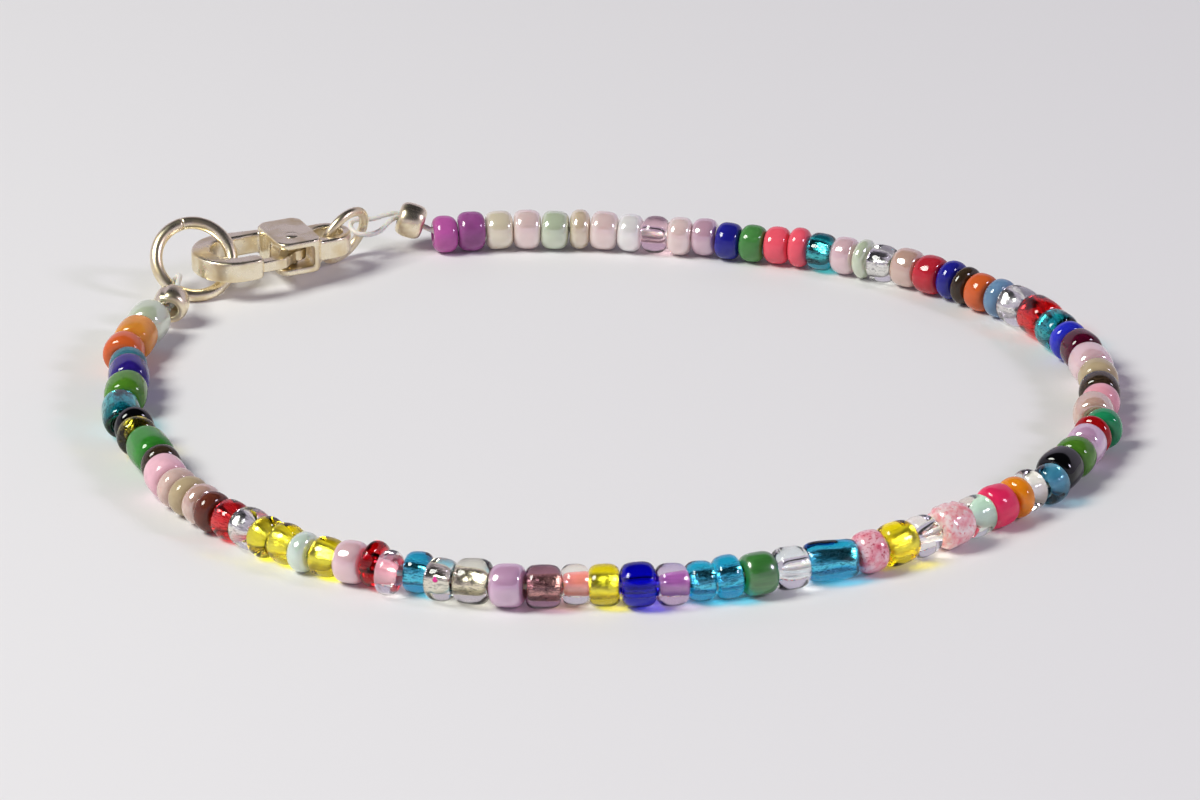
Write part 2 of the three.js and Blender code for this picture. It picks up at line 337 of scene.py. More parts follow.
def silveredBore(tree, colour, look):
    # silver mirrored inside the hole, drawn and crumpled with the cane: streaks, sparks and dull grains
    look = {**silverLining, **look}
    place, seed = beadPlaces(tree)
    drawn = addNode(tree, "Mapping", {"Vector": place, "Scale": (look["drawn"], 1, 1)})
    crease, grain = [addNode(tree, "TexNoise", {
        "Vector": drawn, "W": seed, "Scale": 1 / look[size], "Detail": detail, "Roughness": 0.6,
    }, noise_dimensions="4D") for size, detail in (("crease", 3), ("grain", 2))]
    tarnish = addNode(tree, "MapRange", {"Value": grain, "From Min": 0.5, "From Max": 0.62})
    foil = addNode(tree, "Mix", {
        0: tarnish, 6: linear(colour), 7: shade(colour, look["tarnish"]),
    }, data_type="RGBA")
    bump = addNode(tree, "Bump", {"Height": crease, "Distance": look["creaseDepth"] * mm})
    inputs = {"Base Color": foil, "Metallic": 1, "Roughness": look["roughness"], "Normal": bump}
    if "fleck" in look:
        # a chip in the mirror, touched in with enamel
        away = addNode(tree, "VectorMath", {0: place, 1: look["fleckAt"]}, operation="DISTANCE")
        ragged = addNode(tree, "Math", {0: crease, 1: 0.2, 2: away}, operation="MULTIPLY_ADD")
        chip = addNode(tree, "MapRange", {
            "Value": ragged, "From Min": look["fleckTo"], "From Max": look["fleckTo"] - 0.03,
        })
        paint = addNode(tree, "Mix", {0: chip, 6: foil, 7: linear(look["fleck"])}, data_type="RGBA")
        bare = addNode(tree, "Math", {0: 1, 1: chip}, operation="SUBTRACT")
        inputs["Base Color"], inputs["Metallic"] = paint, bare
    surface = addNode(tree, "BsdfPrincipled", inputs)
    return {"Surface": surface}


clouds = {  # across in millimetres, and the shades that they drift between
    "paint": {"across": 0.5, "detail": 3, "swirl": 0, "shades": (0.8, 1.15)},
    "opaque": {"across": 0.8, "detail": 3, "swirl": 0.6, "shades": (0.75, 1.2)},
    "pearl": {"across": 1.2, "detail": 2, "swirl": 0, "shades": (0.88, 1.08)},
    "milky": {"across": 0.9, "detail": 2, "swirl": 0.4, "shades": (0.7, 1.4)},
    "satin": {"across": 1, "detail": 4, "swirl": 0, "shades": (0.55, 1.45)},
}


def cloudedColour(tree, kind, colour, place, seed):
    # the colour and the clouds that it drifts with
    cloud = clouds[kind]
    drift = addNode(tree, "TexNoise", {
        "Vector": place, "W": seed, "Scale": 1 / cloud["across"], "Detail": cloud["detail"],
        "Distortion": cloud["swirl"],
    }, noise_dimensions="4D")
    darker, lighter = [shade(colour, factor) for factor in cloud["shades"]]
    body = addNode(tree, "Mix", {0: drift, 6: darker, 7: lighter}, data_type="RGBA")
    return body, drift


def paintedBore(tree, colour, look):
    # enamel paint run through the hole: an even core, with the wet gleam of the glass that lies on it
    surface = addNode(tree, "BsdfPrincipled", {
        "Base Color": cloudedColour(tree, "paint", colour, *beadPlaces(tree))[0],
        "Roughness": 0.4, "IOR": 1.5,
        "Coat Weight": 1, "Coat IOR": 2.6, "Coat Roughness": 0.12,
    })
    return {"Surface": surface}


def opaqueGlass(tree, colour, look):
    # opaque coloured glass, fire polished: solid colour with slight swirls under a wet shine
    place, seed = beadPlaces(tree)
    surface = addNode(tree, "BsdfPrincipled", {
        "Base Color": cloudedColour(tree, "opaque", colour, place, seed)[0],
        "Roughness": look.get("roughness", 0.08), "IOR": glassSkin["ior"],
        "Normal": glassRipples(tree, place, seed),
    })
    return {"Surface": surface}


def pearlGlass(tree, colour, look):
    # milky glass under a fired lustre: light soaks in, and the thin hard glaze mirrors the pale room
    place, seed = beadPlaces(tree)
    surface = addNode(tree, "BsdfPrincipled", {
        "Base Color": cloudedColour(tree, "pearl", colour, place, seed)[0],
        "Roughness": 0.3, "IOR": glassSkin["ior"],
        "Subsurface Weight": 1, "Subsurface Radius": (1, 0.9, 0.9), "Subsurface Scale": 1.2 * mm,
        "Coat Weight": 1, "Coat Roughness": 0.06, "Coat IOR": 3,
        "Normal": glassRipples(tree, place, seed),
    })
    return {"Surface": surface}


def milkyGlass(tree, colour, look):
    # coloured glass clouded with a little bone ash: light spreads inside, so even dark colours glow
    place, seed = beadPlaces(tree)
    surface = addNode(tree, "BsdfPrincipled", {
        "Base Color": cloudedColour(tree, "milky", colour, place, seed)[0],
        "Roughness": 0.06, "IOR": glassSkin["ior"],
        "Subsurface Weight": 1, "Subsurface Radius": (1, 1, 1),
        "Subsurface Scale": look.get("deep", 0.5) * mm, "Normal": glassRipples(tree, place, seed),
    })
    return {"Surface": surface}


airLines = {"perMm": (0.35, 6, 6), "depth": 0.004}


def satinGlass(tree, colour, look):
    # glass full of fine air lines, drawn out along the cane: silky streaks from hole to hole
    place, seed = beadPlaces(tree)
    drawn = addNode(tree, "Mapping", {"Vector": place, "Scale": airLines["perMm"]})
    body, streaks = cloudedColour(tree, "satin", colour, drawn, seed)
    bump = addNode(tree, "Bump", {"Height": streaks, "Distance": airLines["depth"] * mm})
    surface = addNode(tree, "BsdfPrincipled", {
        "Base Color": body, "Roughness": 0.3, "IOR": glassSkin["ior"],
        "Subsurface Weight": 0.4, "Subsurface Radius": (0.7, 1, 0.7), "Subsurface Scale": 0.3 * mm,
        "Coat Weight": 1, "Coat Roughness": 0.16, "Coat IOR": 1.8, "Normal": bump,
    })
    return {"Surface": surface}


crushedGlass = {"grain": 0.18, "grainDepth": 0.008, "patch": 0.45}


def speckledGlass(tree, colour, look):
    # crushed coloured glass melted into a pale bead: red grains among milky patches, under clear gloss
    place, seed = beadPlaces(tree)
    grain = addNode(tree, "TexNoise", {
        "Vector": place, "W": seed, "Scale": 1 / crushedGlass["grain"], "Detail": 2, "Roughness": 0.6,
    }, noise_dimensions="4D")
    patch = addNode(tree, "TexNoise", {
        "Vector": place, "W": seed, "Scale": 1 / crushedGlass["patch"], "Detail": 3,
    }, noise_dimensions="4D")
    spread = addNode(tree, "MapRange", {"Value": patch, "From Min": 0.36, "From Max": 0.62})
    cloud = addNode(tree, "Mix", {
        0: spread, 6: linear(colour), 7: linear(look["milk"]),
    }, data_type="RGBA")
    speck = addNode(tree, "MapRange", {"Value": grain, "From Min": 0.52, "From Max": 0.66})
    body = addNode(tree, "Mix", {0: speck, 6: cloud, 7: linear(look["grain"])}, data_type="RGBA")
    bump = addNode(tree, "Bump", {"Height": grain, "Distance": crushedGlass["grainDepth"] * mm})
    surface = addNode(tree, "BsdfPrincipled", {
        "Base Color": body, "Roughness": 0.3, "IOR": glassSkin["ior"],
        "Subsurface Weight": 0.8, "Subsurface Radius": (1, 0.8, 0.8), "Subsurface Scale": 0.4 * mm,
        "Coat Weight": 1, "Coat Roughness": 0.04, "Coat IOR": 1.9, "Normal": bump,
    })
    return {"Surface": surface}


beadMakers = {
    "clear": clearGlass, "opaque": opaqueGlass, "pearl": pearlGlass, "satin": satinGlass,
    "milky": milkyGlass, "speckled": speckledGlass, "silver": silveredBore, "paint": paintedBore,
}
# the glass of each finish, and what lines its hole
finishes = {
    "yellowSilver": {
        "clear": "#FFEE22", "silver": "#FFFFFA", "tarnish": 0.9, "crease": 0.1, "creaseDepth": 0.03,
        "roughness": 0.28, "thick": 2.1, "passing": 0.98,
    },
    "aquaSilver": {
        "clear": "#1EB6E4", "silver": "#FFFFFF", "tarnish": 0.45, "grain": 0.1, "crease": 0.1,
        "creaseDepth": 0.022, "roughness": 0.16, "thick": 2.6, "passing": 0.92,
    },
    "tealSilver": {"clear": "#22B4BC", "silver": "#F4FAFA"},
    "rubySilver": {"clear": "#F02024", "silver": "#F8F4F0", "tarnish": 0.6},
    "khakiSilver": {"clear": "#C8BA18", "silver": "#F8F4E8"},
    "crystalSilver": {"clear": "#FCFCFA", "silver": "#F6F4F4", "tarnish": 0.6, "passing": 0.64},
    "creamSilver": {
        "clear": "#FAF8EE", "silver": "#F4ECD6", "tarnish": 0.6, "roughness": 0.26, "passing": 0.6,
    },
    "crystalGlass": {"clear": "#FCFCFC"},
    "crimsonGlass": {"clear": "#DC1022", "thick": 1.6},
    "fleckedSilver": {
        "clear": "#F8F6EE", "silver": "#F6F0E6", "tarnish": 0.6, "passing": 0.64,
        "fleck": "#DC108C", "fleckAt": (-0.1, -0.42, 0.2), "fleckTo": 0.28,
    },
    "mauveCopper": {
        "clear": "#B88C9E", "silver": "#FFE6CC", "tarnish": 0.5, "grain": 0.16, "crease": 0.12,
        "creaseDepth": 0.06, "roughness": 0.24, "passing": 0.88,
    },
    "salmonLined": {"clear": "#FBFAF6", "paint": "#FF9088"},
    "pinkLined": {"clear": "#FBF8F8", "paint": "#FFA8B8"},
    "lavenderLined": {"clear": "#F2DEEE", "paint": "#B068B4"},
    "paleTealLined": {"clear": "#6CB4CA", "thick": 2.4, "paint": "#74A8BC"},
    "mintLined": {"clear": "#F4FAF4", "paint": "#C4E4CE", "core": 0.5},
    "whiteLined": {"clear": "#FAF8F6", "paint": "#F4F0EA"},
    "cobaltGlass": {"clear": "#0808D2", "thick": 1.6},
    "roseGlass": {"clear": "#F4D4DE"},
    "smokeMilky": {"milky": "#C8AEA6", "deep": 0.9},
    "honeyMilky": {"milky": "#E08818", "deep": 0.9},
    "amberMilky": {"milky": "#D08A34", "deep": 0.7},
    "jet": {"opaque": "#030304"},
    "hotPinkOpaque": {"opaque": "#EC2C5E", "roughness": 0.14},
    "mossSatin": {"satin": "#3A7C34"},
    "pinkSpeckled": {"speckled": "#EC6C86", "milk": "#FACAD2", "grain": "#C82C54"},
    "rosyFrost": {"speckled": "#F89CA2", "milk": "#FFE2E0", "grain": "#EE8892"},
}
plainGlass = {  # of one colour alone
    "milky": {
        "darkTeal": "#3A6E7C", "navy": "#20208C", "violet": "#2A1A78", "blue": "#2830BC",
        "olive": "#4C7E22", "leaf": "#34802C", "fern": "#4E8A48", "emerald": "#1E8A5A",
        "red": "#9C080E", "roseRed": "#B82838", "maroon": "#4C0420", "rust": "#643022",
        "brown": "#3A2C1E", "steel": "#6A8AA8", "purple": "#94508A",
    },
    "opaque": {
        "orange": "#D4602C", "pink": "#E8A0AE", "candy": "#EAB6C4", "coral": "#F85A6C",
        "tan": "#B8A482", "magenta": "#B858A0",
    },
    "pearl": {
        "celadon": "#C2CEB2", "mint": "#CCDED0", "blush": "#E2BCC2", "shell": "#ECD0CC",
        "lavender": "#CCA2C2", "lilac": "#CCA4B6", "cream": "#E2D6BC", "sand": "#D4C2A8",
        "white": "#EEE9E6", "rosyTan": "#CCA898",
    },
}
for kind, colours in plainGlass.items():
    for colour, hexCode in colours.items():
        finishes[colour + kind.title()] = {kind: hexCode}


def makeFinish(name):
    # the glass and what lines its hole, which is the same glass where nothing else does
    look = finishes[name]
    made = []
    for kind, maker in beadMakers.items():
        if kind in look:
            suffix = "Bore" if kind in ("silver", "paint") else ""
            made.append(makeMaterial(name + suffix, maker, look[kind], look))
    return made[0], made[-1]


beadGlass = {name: makeFinish(name) for name in finishes}
print("finishes:", len(beadGlass))

beadSizes = {  # length along the thread, width across, and how square the outside is: two is round
    "disc": (1.1, 2.5, 2.1), "thin": (1.35, 2.5, 2.3), "short": (1.6, 2.4, 2.6), "mid": (1.8, 2.5, 2.8),
    "long": (2.05, 2.55, 3), "big": (2.4, 2.6, 3.2), "tube": (3.2, 2.4, 2.8), "barrel": (3.2, 2.6, 2.8),
}
beadShape = {
    "gap": 0.04,  # between two beads
    "bore": 0.36, "squareBore": 0.5, "paintedBore": 0.46,  # half widths of the hole
    "rim": 0.17,  # how far it flares at both ends
    "flare": 6, "corner": 3,  # powers: how late it flares, and how square a silvered one is
    "around": 56, "outerSteps": 22, "boreSteps": 10,
    "oval": 0.02, "taper": 0.02, "skew": 0.05, "twistDeg": 14,
    "lump": 0.015, "lumpsPerMm": 0.8, "bumpsPerMm": 3, "crumple": 0.03, "crumplesPerMm": 3.5,
    "tiltDeg": 3, "outwards": 0.12, "lift": 0.01,
    "wanderSeed": 31, "shapeSeed": 8,
}
beadRuns = {
    "bead_run_01": "big celadonPearl, big amberMilky, long orangeOpaque, short darkTealMilky, "
                   "big violetMilky, big oliveMilky, tube tealSilver, thin jet",
    "bead_run_02": "thin khakiSilver, barrel leafMilky, thin brownMilky, long candyOpaque, "
                   "thin smokeMilky, thin tanOpaque, thin rosyTanPearl, thin rustMilky",
    "bead_run_03": "short rubySilver, mid crystalSilver, thin yellowSilver, short yellowSilver, "
                   "thin mintPearl, short yellowSilver, mid blushPearl, disc crimsonGlass",
    "bead_run_04": "thin pinkLined, short aquaSilver, short fleckedSilver, long creamSilver, "
                   "long lavenderPearl, long mauveCopper, short salmonLined, mid yellowSilver",
    "bead_run_05": "long cobaltGlass, mid lavenderLined, short aquaSilver, short aquaSilver, "
                   "long mossSatin, long crystalGlass, tube aquaSilver, mid pinkSpeckled",
    "bead_run_06": "long yellowSilver, mid crystalGlass, big rosyFrost, mid mintLined, "
                   "long hotPinkOpaque, thin honeyMilky, thin whiteLined, short paleTealLined",
    "bead_run_07": "big jet, mid oliveMilky, mid lavenderPearl, disc redMilky, "
                   "short emeraldMilky, long rosyTanPearl, short pinkOpaque, mid brownMilky",
    "bead_run_08": "mid tanOpaque, big blushPearl, long maroonMilky, thin blueMilky, "
                   "long tealSilver, big rubySilver, long crystalSilver, thin steelMilky",
    "bead_run_09": "short orangeOpaque, disc brownMilky, thin navyMilky, mid roseRedMilky, "
                   "mid rosyTanPearl, short crystalSilver, disc celadonPearl, short blushPearl",
    "bead_run_10": "short tealSilver, thin coralOpaque, short coralOpaque, short fernMilky, "
                   "short navyMilky, short lilacPearl, short shellPearl, short roseGlass",
    "bead_run_11": "short whitePearl, mid shellPearl, thin sandPearl, mid celadonPearl, "
                   "mid shellPearl, mid creamPearl, mid purpleMilky, short magentaOpaque",
}
beadOffsets = {  # beads that stand out of line, counted from the catch ring
    1: 0.3, 2: 0.2, 3: 0.3, 4: -0.3, 5: -0.6, 6: -0.5, 8: -0.5, 9: -0.4, 10: -0.6, 11: -0.5, 21: 0.2,
    24: -0.25, 25: 0.4, 26: -0.4, 27: 0.1, 28: 0, 31: -0.45, 32: -0.25, 48: 0.45, 53: 0.5, 54: -0.35,
}
beadQuirks = {  # and those odd in size, shape or tilt
    21: {"swell": 0.95}, 24: {"swell": 1.1}, 25: {"swell": 1.05}, 26: {"swell": 1.03},
    27: {"swell": 1.06}, 28: {"swell": 1.06}, 33: {"swell": 1.03}, 36: {"tilt": 5, "swell": 1.1},
    39: {"lump": 0.06, "yaw": -17}, 43: {"bumps": 0.1}, 45: {"lump": 0.05},
}


def roundedSide(half, rim, radius, powers, steps):
    # half a ball at a power of one, and squarer below it, from one rim over the outside to the other
    profile = []
    for i in range(steps + 1):
        angle = math.pi * i / steps
        cosine, sine = math.cos(angle), max(0, math.sin(angle))
        along = half * math.copysign(abs(cosine) ** powers[0], cosine)
        profile.append((along, rim + (radius - rim) * sine ** powers[1]))
    return profile


def turnedFaces(around, steps):
    # the faces of a closed profile of so many steps, carried all the way round
    faces = []
    for i in range(around):
        for k in range(steps):
            here, there, following = i * steps, (i + 1) % around * steps, (k + 1) % steps
            faces.append((here + k, here + following, there + following, there + k))
    return faces


def beadProfile(size, boreRadius, swell):
    # over the outside from rim to rim, then home through the hole
    length, across, squareness = beadSizes[size]
    half, powers = (length - beadShape["gap"]) / 2, [2 / squareness] * 2
    outside = roundedSide(
        half, boreRadius + beadShape["rim"], across / 2 * swell, powers, beadShape["outerSteps"],
    )
    profile = [(along, radius, False) for along, radius in outside]
    for i in range(1, beadShape["boreSteps"]):
        along = half * (2 * i / beadShape["boreSteps"] - 1)
        flare = abs(along / half) ** beadShape["flare"]
        profile.append((along, boreRadius + beadShape["rim"] * flare, True))
    return profile


def beadSurface(size, finish, quirk, draw):
    # one bead about its own axis: its vertices, faces and which faces lie in the hole
    look = finishes[finish]
    boreRadius = beadShape["bore"]
    if "silver" in look:
        boreRadius = beadShape["squareBore"]
    if "paint" in look:
        boreRadius = look.get("core", beadShape["paintedBore"])
    profile = beadProfile(size, boreRadius, quirk.get("swell", 1))
    half = profile[0][0]
    oval, taper = draw.uniform(-1, 1) * beadShape["oval"], draw.uniform(-1, 1) * beadShape["taper"]
    skew = draw.uniform(-1, 1) * beadShape["skew"]
    twist = math.radians(draw.uniform(-1, 1) * beadShape["twistDeg"])
    spin, seed = draw.uniform(0, 2 * math.pi), draw.uniform(0, 90)
    power, around, steps = beadShape["corner"], beadShape["around"], len(profile)
    vertices = []
    for i in range(around):
        angle = 2 * math.pi * i / around
        for along, radius, hole in profile:
            if hole and "silver" in look:
                turned = angle + twist * along / half
                cosine, sine = abs(math.cos(turned)), abs(math.sin(turned))
                corner = (cosine ** power + sine ** power) ** (-1 / power)
                where = Vector((along, boreRadius * math.cos(angle), boreRadius * math.sin(angle)))
                where = where * beadShape["crumplesPerMm"] + Vector((0, 0, seed))
                crumple = noise.noise(where) * beadShape["crumple"]
                inside = 1 - abs(along / half) ** beadShape["flare"]
                radius += (boreRadius * (corner - 1) + crumple) * inside
            if not hole:
                where = Vector((along, radius * math.cos(angle), radius * math.sin(angle)))
                lump = noise.noise(where * beadShape["lumpsPerMm"] + Vector((seed, 0, 0)))
                bump = noise.noise(where * beadShape["bumpsPerMm"] + Vector((0, seed, 0)))
                radius *= 1 + 2 * lump * quirk.get("lump", beadShape["lump"]) + taper * along / half
                radius += bump * quirk.get("bumps", 0)
            y = radius * math.cos(angle + spin) * (1 + oval)
            z = radius * math.sin(angle + spin) * (1 - oval)
            vertices.append(Vector((along + skew * y * (abs(along) / half), y, z)))
    inBore = [k >= beadShape["outerSteps"] for k in range(steps)] * around
    return vertices, turnedFaces(around, steps), inBore, seed


def turnTo(ahead):
    # lays a piece's own x that way, with its y level
    axis = Vector(ahead).normalized()
    side = Vector((0, 0, 1)).cross(axis).normalized()
    return Matrix((axis, side, axis.cross(side))).transposed()


beadCentres = []  # where the thread runs, bead by bead


def planBeads():
    # every bead's place on the table, strung one after the other
    draw = random.Random(beadShape["wanderSeed"])
    plan, distance = [], 0
    for run, row in beadRuns.items():
        for entry in row.split(", "):
            size, finish = entry.split()
            length, across, _ = beadSizes[size]
            wander = draw.uniform(-1, 1) * beadShape["outwards"]
            outwards = beadOffsets.get(len(plan) + 1, wander)
            middle = alongStrand(distance + length / 2, outwards)
            plan.append((run, size, finish, Vector((middle.x, middle.y, across / 2))))
            distance += length
    return plan


def stringBeads():
    plan = planBeads()
    draw = random.Random(beadShape["shapeSeed"])
    lists = ("vertices", "faces", "slots", "materials", "places", "seeds")
    parts = {run: {name: [] for name in lists} for run in beadRuns}
    for i, (run, size, finish, middle) in enumerate(plan):
        before = plan[max(0, i - 1)][3]
        after = plan[min(len(plan) - 1, i + 1)][3]
        quirk = beadQuirks.get(i + 1, {})
        tilt, yaw = quirk.get("tilt", beadShape["tiltDeg"]), quirk.get("yaw", 0)
        turn = turnTo(after - before)
        turn @= Matrix.Rotation(math.radians(draw.uniform(-1, 1) * tilt + yaw), 3, "Z")
        turn @= Matrix.Rotation(math.radians(draw.uniform(-1, 1) * tilt), 3, "Y")
        vertices, faces, inBore, seed = beadSurface(size, finish, quirk, draw)
        turned = [turn @ vertex for vertex in vertices]
        lift = beadShape["lift"] - min(vertex.z for vertex in turned)
        middle = Vector((middle.x, middle.y, lift))
        beadCentres.append(middle)
        part = parts[run]
        for material in beadGlass[finish]:
            if material not in part["materials"]:
                part["materials"].append(material)
        first = len(part["vertices"])
        part["vertices"] += [vertex + middle for vertex in turned]
        part["faces"] += [tuple(first + corner for corner in face) for face in faces]
        slots = [part["materials"].index(material) for material in beadGlass[finish]]
        part["slots"] += [slots[hole] for hole in inBore]
        part["places"] += vertices
        part["seeds"] += [seed] * len(vertices)
    for run, part in parts.items():
        name = run.replace("bead_run", "glass_beads")
        piece = buildPiece(name, part["vertices"], part["faces"], part["materials"], part["slots"])
        places = piece.data.attributes.new("beadPlace", "FLOAT_VECTOR", "POINT")
        places.data.foreach_set("vector", [number for place in part["places"] for number in place])
        seeds = piece.data.attributes.new("beadSeed", "FLOAT", "POINT")
        seeds.data.foreach_set("value", part["seeds"])
        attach(piece, "bracelet")
        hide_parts(run)


stringBeads()
print("beads:", len(beadCentres))

plating = {
    "silver": "#F8EDD2", "worn": "#E8D4A8", "patch": 1.4, "roughness": (0.2, 0.38),
    "skin": 0.9, "skinDepth": 0.02, "scratchesPerMm": (0.6, 14, 14), "scratchDepth": 0.003,
}


def silverPlate(tree):
    # silver plate on cast and tumbled brass: warm white mirror, a little yellow and dull where handled
    coords = addNode(tree, "TexCoord")
    place = addNode(tree, "VectorMath", {
        0: coords.outputs["Object"], "Scale": 1 / mm,
    }, operation="SCALE")
    cloud = addNode(tree, "TexNoise", {
        "Vector": place, "Scale": 1 / plating["patch"], "Detail": 4, "Roughness": 0.6,
    })
    wear = addNode(tree, "MapRange", {"Value": cloud, "From Min": 0.45, "From Max": 0.72})
    colour = addNode(tree, "Mix", {
        0: wear, 6: linear(plating["silver"]), 7: linear(plating["worn"]),
    }, data_type="RGBA")
    gloss = addNode(tree, "MapRange", {
        "Value": cloud, "From Min": 0.3, "From Max": 0.7,
        "To Min": plating["roughness"][0], "To Max": plating["roughness"][1],
    })
    stretched = addNode(tree, "Mapping", {
        "Vector": place, "Rotation": (0.4, 0.2, 0.7), "Scale": plating["scratchesPerMm"],
    })
    scratches = addNode(tree, "TexNoise", {"Vector": stretched, "Scale": 1, "Detail": 3})
    castSkin = addNode(tree, "TexNoise", {"Vector": place, "Scale": 1 / plating["skin"], "Detail": 1})
    slow = addNode(tree, "Bump", {"Height": castSkin, "Distance": plating["skinDepth"] * mm})
    bump = addNode(tree, "Bump", {
        "Height": scratches, "Distance": plating["scratchDepth"] * mm, "Normal": slow,
    })
    surface = addNode(tree, "BsdfPrincipled", {
        "Base Color": colour, "Metallic": 1, "Roughness": gloss, "Normal": bump,
    })
    return {"Surface": surface}


silver = makeMaterial("silverPlate", silverPlate)


def finishMetal(piece, node, body="bracelet"):
    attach(piece, body)
    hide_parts(node)


def sweepRod(points, radius, sides, section=None):
    # a rod along the points, on frames carried on without a twist
    last = len(points) - 1
    vertices, side, travelled = [], None, 0
    for i, point in enumerate(points):
        ahead = (points[min(last, i + 1)] - points[max(0, i - 1)]).normalized()
        side = side or ahead.orthogonal()
        side = (side - ahead * side.dot(ahead)).normalized()
        up = ahead.cross(side)
        travelled += (point - points[i - 1]).length if i else 0
        for k in range(sides):
            angle = 2 * math.pi * k / sides
            reach = radius * (section(travelled, angle) if section else 1)
            vertices.append(point + side * reach * math.cos(angle) + up * reach * math.sin(angle))
    # none lead back from its last row to its first, and both ends are capped
    faces = turnedFaces(len(points), sides)[:-sides]
    faces.append(tuple(reversed(range(sides))))
    faces.append(tuple(range(last * sides, (last + 1) * sides)))
    return vertices, faces


rings = {  # each leans back, or forward below zero; held by the thread at heldDeg, cut at joinDeg
    "catch_ring": {
        "radius": 2.4, "wire": 0.4, "turnDeg": 15, "leanDeg": 40, "heldDeg": 225, "joinDeg": 100,
    },
    "jump_ring": {
        "radius": 1.8, "wire": 0.3, "turnDeg": 50, "leanDeg": -20, "heldDeg": 0, "joinDeg": 60,
    },
}
ringShape = {"steps": 120, "sides": 32, "seamDeg": 0.6}


def ringAxes(ring):
    turn, lean = math.radians(ring["turnDeg"]), math.radians(ring["leanDeg"])
    across = Vector((math.cos(turn), math.sin(turn), 0))
    back = Vector((-math.sin(turn), math.cos(turn), 0))
    return across, Vector((0, 0, math.cos(lean))) + back * math.sin(lean)


def bendRing(node):
    # round wire bent into a ring whose two ends meet at a fine seam
    ring = rings[node]
    across, up = ringAxes(ring)
    centre = boxMiddle(node)
    steps, seam = ringShape["steps"], ringShape["seamDeg"]
    points = []
    for i in range(steps + 1):
        angle = math.radians(ring["joinDeg"] + seam + (360 - 2 * seam) * i / steps)
        points.append(centre + (across * math.cos(angle) + up * math.sin(angle)) * ring["radius"])
    vertices, faces = sweepRod(points, ring["wire"], ringShape["sides"])
    finishMetal(buildPiece("wire_" + node, vertices, faces, [silver]), node)


for node in rings:
    bendRing(node)

crimps = {
    "crimp_catch_side": {"toward": (0.12, 1, 0.12), "ring": "catch_ring"},
    "crimp_clasp_side": {"toward": (-1, 0.05, 0.33), "ring": "jump_ring"},
}
crimpShape = {
    "radius": 1.12, "length": 1.7, "mouth": 0.56, "wall": 0.2, "lip": 0.02,
    "powers": (0.75, 0.7), "hollow": 0.86,  # of its length
    "seam": 0.1, "seamDeg": 70, "seamWidth": 0.09, "around": 48, "steps": 18,
}


def pressCrimp(node):
    # a split cup folded over the knot until its two lips meet in a seam
    shape = crimpShape
    mouth, around = shape["mouth"], shape["around"]
    profile = roundedSide(shape["length"] / 2, mouth, shape["radius"], shape["powers"], shape["steps"])
    for along, out in profile[::-1]:
        profile.append((along * shape["hollow"], max(mouth - shape["lip"], out - shape["wall"])))
    turn, middle = turnTo(crimps[node]["toward"]), boxMiddle(node)
    vertices, faces = [], turnedFaces(around, len(profile))
    for i in range(around):
        angle = 2 * math.pi * i / around
        fromSeam = abs(angle - math.radians(shape["seamDeg"])) / shape["seamWidth"]
        fold = 1 - shape["seam"] * math.exp(-(fromSeam ** 2))
        for along, out in profile:
            place = Vector((along, fold * out * math.cos(angle), fold * out * math.sin(angle)))
            vertices.append(turn @ place + middle)
    finishMetal(buildPiece("pressed_" + node, vertices, faces, [silver]), node)


for node in crimps:
    pressCrimp(node)
print("rings and crimps")

beadThread = {
    "radius": 0.16, "plies": 3, "plyDepth": 0.1, "twist": 1.1,  # one turn of the plies
    "sides": 18, "step": 0.12, "loopSlack": 0.32,
    "colour": "#EDEAE2", "fibre": 0.08, "fibreDepth": 0.004,
}


def smoothLine(points, step):
    # a centripetal Catmull-Rom line through the points
    line = []
    padded = [points[0] * 2 - points[1]] + points + [points[-1] * 2 - points[-2]]
    for p0, p1, p2, p3 in zip(padded, padded[1:], padded[2:], padded[3:]):
        t1 = (p1 - p0).length ** 0.5
        t2 = t1 + (p2 - p1).length ** 0.5
        t3 = t2 + (p3 - p2).length ** 0.5
        steps = max(2, round((p2 - p1).length / step))
        for i in range(steps):
            t = t1 + (t2 - t1) * i / steps
            a1 = p0 * ((t1 - t) / t1) + p1 * (t / t1)
            a2 = p1 * ((t2 - t) / (t2 - t1)) + p2 * ((t - t1) / (t2 - t1))
            a3 = p2 * ((t3 - t) / (t3 - t2)) + p3 * ((t - t2) / (t3 - t2))
            b1 = a1 * ((t2 - t) / t2) + a2 * (t / t2)
            b2 = a2 * ((t3 - t) / (t3 - t1)) + a3 * ((t - t1) / (t3 - t1))
            line.append(b1 * ((t2 - t) / (t2 - t1)) + b2 * ((t - t1) / (t2 - t1)))
    line.append(points[-1])
    return line


def endLoop(node):
    # out of the crimp, round the ring's wire and back, square to that wire and a little wider
    crimp = crimps[node]
    ring = rings[crimp["ring"]]
    across, up = ringAxes(ring)
    held = math.radians(ring["heldDeg"])
    outward = across * math.cos(held) + up * math.sin(held)
    place = boxMiddle(crimp["ring"]) + outward * ring["radius"]
    alongWire = up * math.cos(held) - across * math.sin(held)
    start = boxMiddle(node)
    ahead = Vector(crimp["toward"]).normalized()
    reach = (place - start).length
    run = (place - start).normalized()
    sideways = alongWire.cross(run).normalized()
    spread = ring["wire"] + beadThread["radius"] + beadThread["loopSlack"]
    half = crimpShape["length"] / 2

    def oneLeg(hand):
        # in the crimp, at its mouth, short of the ring, beside its wire and past it
        return [
            start - ahead * 0.6 * half + sideways * 0.17 * hand,
            start + ahead * 1.2 * half + sideways * 0.2 * hand,
            start + run * 0.75 * reach + sideways * 0.85 * spread * hand,
            start + run * reach + sideways * spread * hand,
            start + run * (reach + 0.75 * spread) + sideways * 0.7 * spread * hand,
        ]

    tip = start + run * (reach + spread)
    return oneLeg(1) + [tip] + oneLeg(-1)[::-1]


